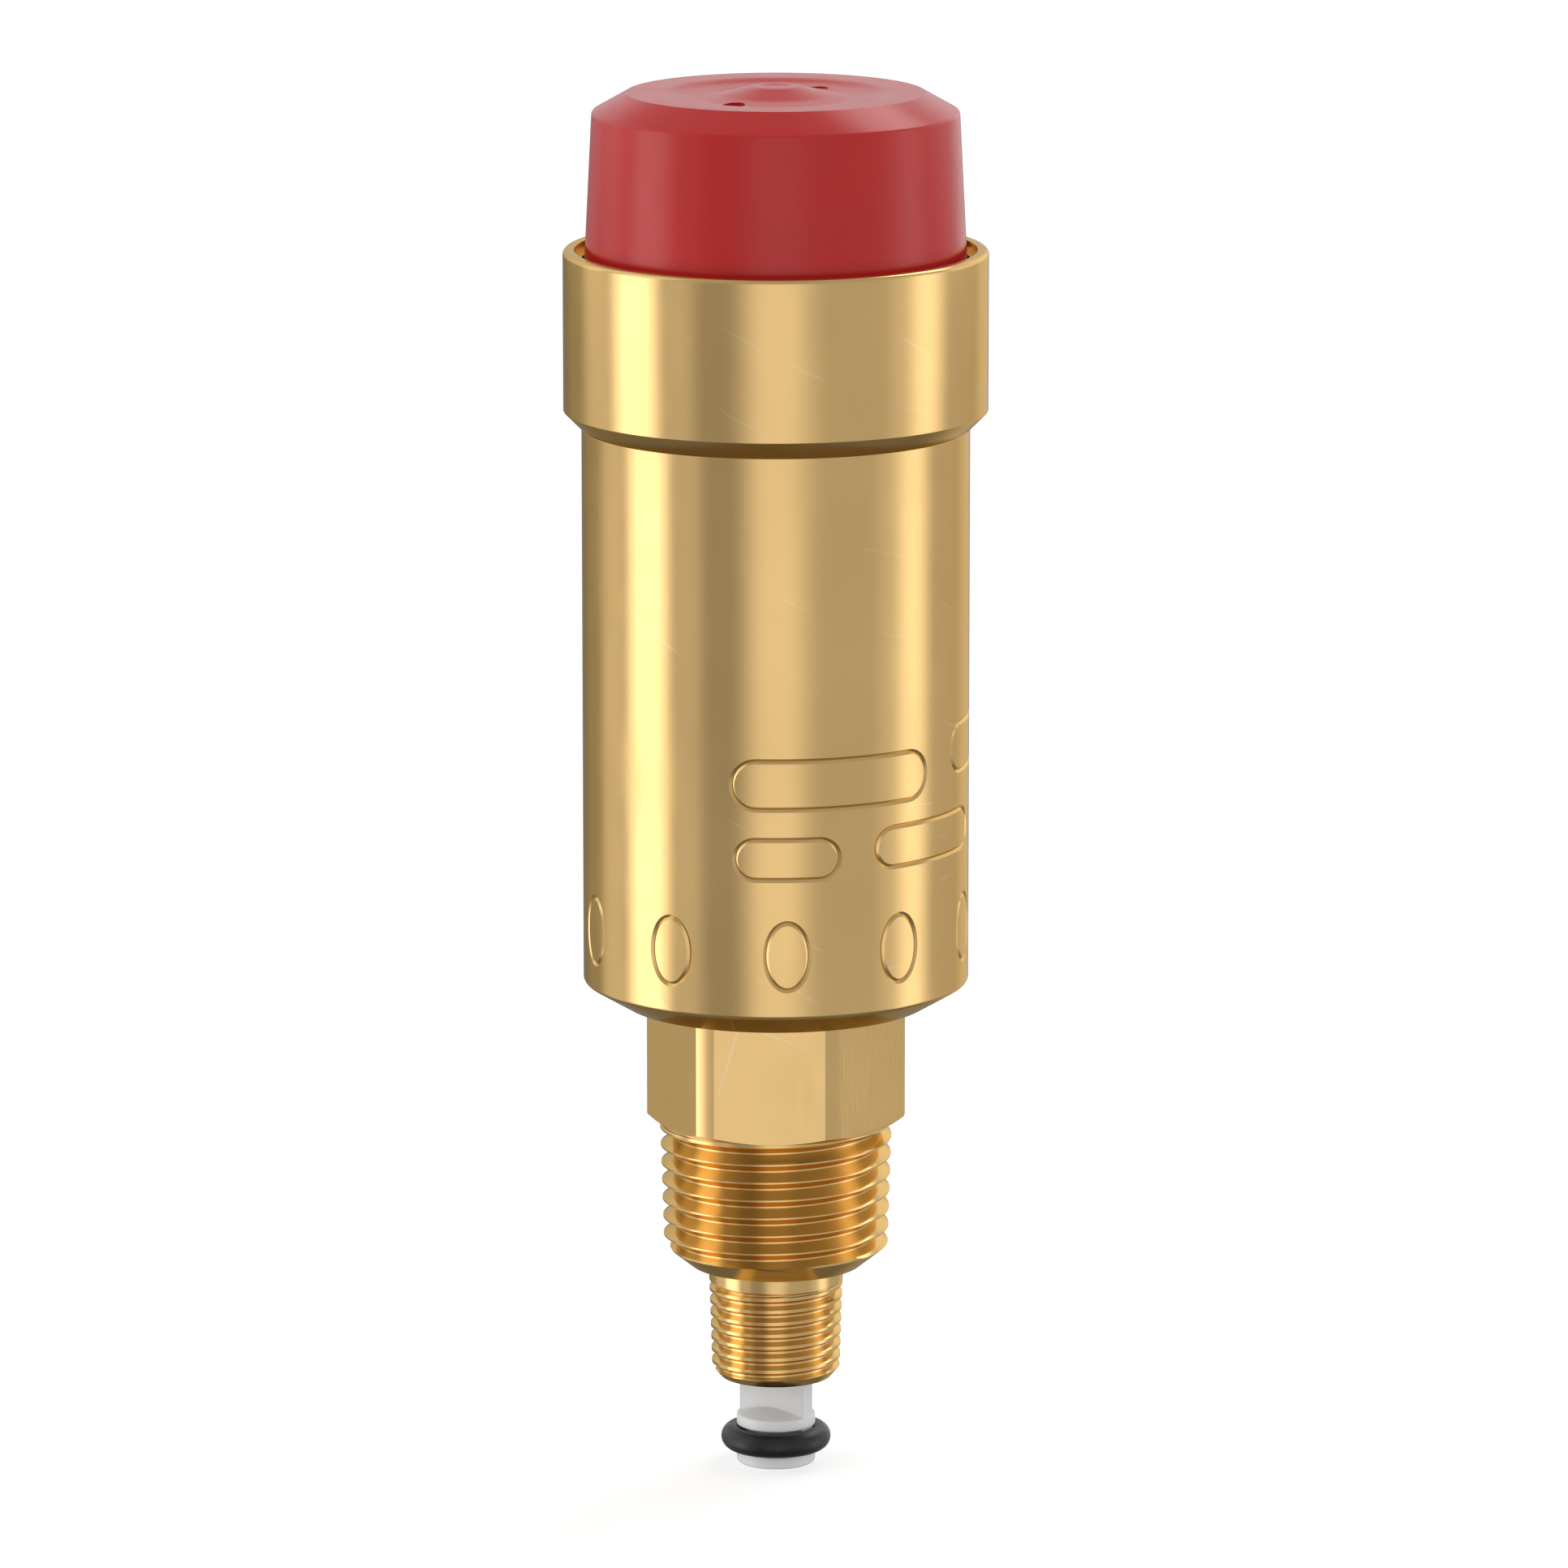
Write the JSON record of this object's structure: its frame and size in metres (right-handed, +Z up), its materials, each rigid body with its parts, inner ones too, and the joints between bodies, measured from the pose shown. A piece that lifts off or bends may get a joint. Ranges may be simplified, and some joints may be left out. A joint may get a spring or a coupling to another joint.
{
  "type": "automatic air vent",
  "caption": "Upright float air vent for heating pipework: red screw-down cap, brass float chamber, and a shut-off valve below it with a hexagon and two tapered threads.",
  "frame": {"origin": "on the vent's axis, in the plane of the hexagon's lower face, where the R 3/8 thread begins", "axes": "+Z up along the vent's axis towards the cap; -Y towards the hexagon flat that faces the viewer"},
  "size_m": [0.0306, 0.0306, 0.1016],
  "materials": {
    "valve_brass": "machined",
    "chamber_brass": "polished",
    "collar_brass": "polished",
    "head_brass": "machined",
    "cap_plastic": "satin",
    "plug_plastic": "satin",
    "plug_rubber": "matte",
    "seal_rubber": "matte",
    "retainer_steel": "stamped",
    "spring_steel": "drawn wire",
    "lever_steel": "stamped",
    "float_plastic": "moulded"
  },
  "bodies": {
    "shutoff_valve": {"valve_body": "valve_brass", "shutoff_spring": "spring_steel"},
    "plug": {"shutoff_plug": "plug_plastic", "plug_o_ring": "plug_rubber", "spring_retainer": "retainer_steel"},
    "vent": {"float_chamber": "chamber_brass", "stem_o_ring": "seal_rubber", "head_collar": "collar_brass", "valve_head": "head_brass", "head_o_ring": "seal_rubber", "vent_nozzle": "head_brass", "lever_bracket": "lever_steel", "lever_pin": "lever_steel", "bracket_screws": "lever_steel"},
    "cap_seal": {"cap_washer": "seal_rubber"},
    "screw_cap": {"cap": "cap_plastic"},
    "float": {"float_shell": "float_plastic", "float_lid": "float_plastic", "float_link": "lever_steel"},
    "valve_lever": {"lever": "lever_steel", "valve_pad": "seal_rubber"}
  },
  "joints": [
    {"name": "plug_rise", "type": "slide", "parent": "shutoff_valve", "child": "plug", "axis": [0, 0, 1], "range_m": [0, 0.00375], "deforming": ["shutoff_spring"]},
    {"name": "vent_turn", "type": "hinge", "parent": "plug", "child": "vent", "pos_m": [0, 0, 0], "axis": [0, 0, 1], "range_deg": [0, 1080.01]},
    {"name": "cap_travel", "type": "slide", "parent": "vent", "child": "cap_seal", "axis": [0, 0, 1], "range_m": [-0.0015, 0.001]},
    {"name": "cap_turn", "type": "hinge", "parent": "cap_seal", "child": "screw_cap", "pos_m": [0, 0, 0.07], "axis": [0, 0, 1], "range_deg": [-540.01, 360.01]},
    {"name": "float_rise", "type": "slide", "parent": "vent", "child": "float", "axis": [0, 0, 1], "range_m": [0, 0.00291]},
    {"name": "lever_pivot", "type": "hinge", "parent": "vent", "child": "valve_lever", "pos_m": [-0.007, 0, 0.0508], "axis": [0, -1, 0], "range_deg": [0, 12]}
  ],
  "couplings": [
    {"joint": "vent_turn", "follows": "plug_rise", "rad_per_m": 5026.5},
    {"joint": "cap_turn", "follows": "cap_travel", "rad_per_m": 6283.2},
    {"joint": "lever_pivot", "follows": "float_rise", "rad_per_m": 71.954}
  ]
}
